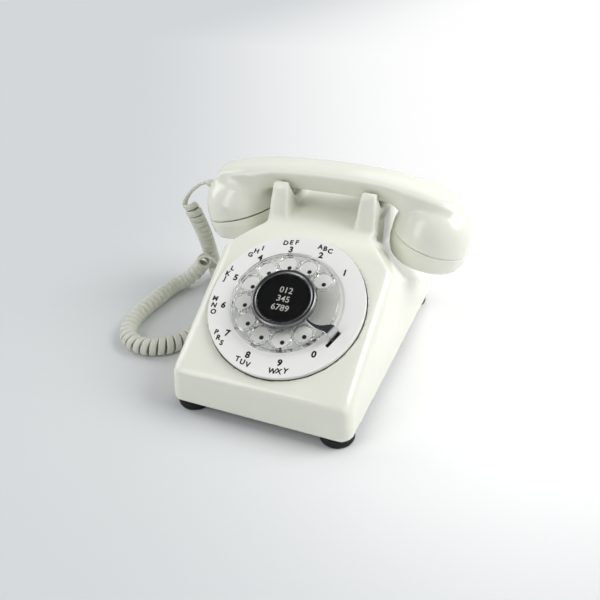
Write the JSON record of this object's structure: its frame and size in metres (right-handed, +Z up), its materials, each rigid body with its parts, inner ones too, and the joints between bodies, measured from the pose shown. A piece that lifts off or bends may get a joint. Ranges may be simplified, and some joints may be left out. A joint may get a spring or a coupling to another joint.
{
  "type": "rotary desk telephone",
  "caption": "Ivory rotary desk telephone with a clear finger wheel, a handset in its cradle and a curly handset cord.",
  "frame": {"origin": "on the surface it stands on, below the middle of the telephone's box, measured without the handset cord", "axes": "+X to the right and along the handset, +Y to the back, +Z up"},
  "size_m": [0.2698, 0.2149, 0.136],
  "materials": {
    "ivory_plastic": "glossy moulded ABS",
    "printed_plate": "satin, printed with black numbers",
    "clear_plastic": "clear, glossy",
    "black_plastic": "satin black",
    "cord_plastic": "satin, soft",
    "foot_rubber": "matte black",
    "chrome": "polished",
    "plated_steel": "plated sheet and turned steel",
    "brass": "machined",
    "grey_plastic": "moulded block",
    "coil_winding": "taped winding"
  },
  "bodies": {
    "telephone": {"number_plate": "printed_plate", "dial_frame": "plated_steel", "finger_stop": "chrome", "governor_cup": "plated_steel", "motor_spring_case": "brass", "pulse_contacts": "plated_steel", "housing": "ivory_plastic", "base_plate": "plated_steel", "foot_front_left": "foot_rubber", "foot_front_right": "foot_rubber", "foot_rear_left": "foot_rubber", "foot_rear_right": "foot_rubber", "housing_screw_front": "plated_steel", "housing_screw_rear": "plated_steel", "dial_bracket_left": "plated_steel", "dial_bracket_right": "plated_steel", "hook_pin": "plated_steel", "hookswitch_bracket": "plated_steel", "hookswitch_contacts": "plated_steel", "gong_left": "brass", "gong_right": "brass", "gong_post_left": "plated_steel", "gong_post_right": "plated_steel", "gong_screw_left": "plated_steel", "gong_screw_right": "plated_steel", "ringer_frame": "plated_steel", "ringer_core": "plated_steel", "ringer_coil": "coil_winding", "network_block": "grey_plastic", "network_terminals": "brass", "line_jack": "clear_plastic", "housing_grommet": "cord_plastic", "cord_lead_handset": "cord_plastic", "cord_coil_upper": "cord_plastic", "cord_link": "cord_plastic", "cord_coil_lower": "cord_plastic", "cord_lead_housing": "cord_plastic"},
    "dial_wheel": {"finger_wheel": "clear_plastic", "card_retainer": "chrome", "number_card": "black_plastic", "card_window": "clear_plastic", "main_shaft": "plated_steel", "main_gear": "brass"},
    "dial_intermediate": {"intermediate_gear": "brass"},
    "dial_governor": {"governor": "brass"},
    "handset": {"handle": "ivory_plastic", "receiver_cap": "ivory_plastic", "transmitter_cap": "ivory_plastic", "receiver_capsule": "black_plastic", "transmitter_capsule": "plated_steel", "contact_cup": "black_plastic", "handset_grommet": "cord_plastic"},
    "left_plunger": {"plunger_left": "clear_plastic"},
    "right_plunger": {"plunger_right": "clear_plastic"},
    "lever": {"hook_lever": "plated_steel"},
    "bell_clapper": {"clapper": "plated_steel"},
    "volume_control": {"volume_wheel": "black_plastic"}
  },
  "joints": [
    {"name": "dial_turn", "type": "hinge", "parent": "telephone", "child": "dial_wheel", "pos_m": [0, -0.0498, 0.068], "axis": [0, -0.4924, 0.8704], "range_deg": [-325, 0], "stiffness_Nm_per_rad": 0.006, "springref_deg": 85.94},
    {"name": "intermediate_turn", "type": "hinge", "parent": "telephone", "child": "dial_intermediate", "pos_m": [-0.01026, -0.07434, 0.05412], "axis": [0, -0.4924, 0.8704], "range_deg": [0, 1302]},
    {"name": "governor_turn", "type": "hinge", "parent": "telephone", "child": "dial_governor", "pos_m": [-0.0275, -0.06175, 0.06124], "axis": [0, -0.4924, 0.8704], "range_deg": [-1953, 0]},
    {"name": "handset_lift", "type": "slide", "parent": "telephone", "child": "handset", "axis": [0, 0, 1], "range_m": [0, 0.06]},
    {"name": "left_plunger_slide", "type": "slide", "parent": "telephone", "child": "left_plunger", "axis": [0, 0, 1], "range_m": [0, 0.0055]},
    {"name": "right_plunger_slide", "type": "slide", "parent": "telephone", "child": "right_plunger", "axis": [0, 0, 1], "range_m": [0, 0.0055]},
    {"name": "hook_lever_turn", "type": "hinge", "parent": "telephone", "child": "lever", "pos_m": [0, 0.018, 0.081], "axis": [1, 0, 0], "range_deg": [0, 8.05]},
    {"name": "clapper_swing", "type": "hinge", "parent": "telephone", "child": "bell_clapper", "pos_m": [0, 0.049, 0.033], "axis": [0, 0, 1], "range_deg": [-8, 8], "stiffness_Nm_per_rad": 0.0005},
    {"name": "volume_turn", "type": "hinge", "parent": "telephone", "child": "volume_control", "pos_m": [0.052, 0.046, 0.0062], "axis": [0, 0, 1], "range_deg": [0, 100]}
  ],
  "couplings": [
    {"joint": "intermediate_turn", "follows": "dial_turn", "ratio": -4},
    {"joint": "governor_turn", "follows": "dial_turn", "ratio": 6},
    {"joint": "left_plunger_slide", "follows": "handset_lift", "ratio": 0.0916},
    {"joint": "right_plunger_slide", "follows": "handset_lift", "ratio": 0.0916},
    {"joint": "hook_lever_turn", "follows": "handset_lift", "rad_per_m": 2.333}
  ]
}
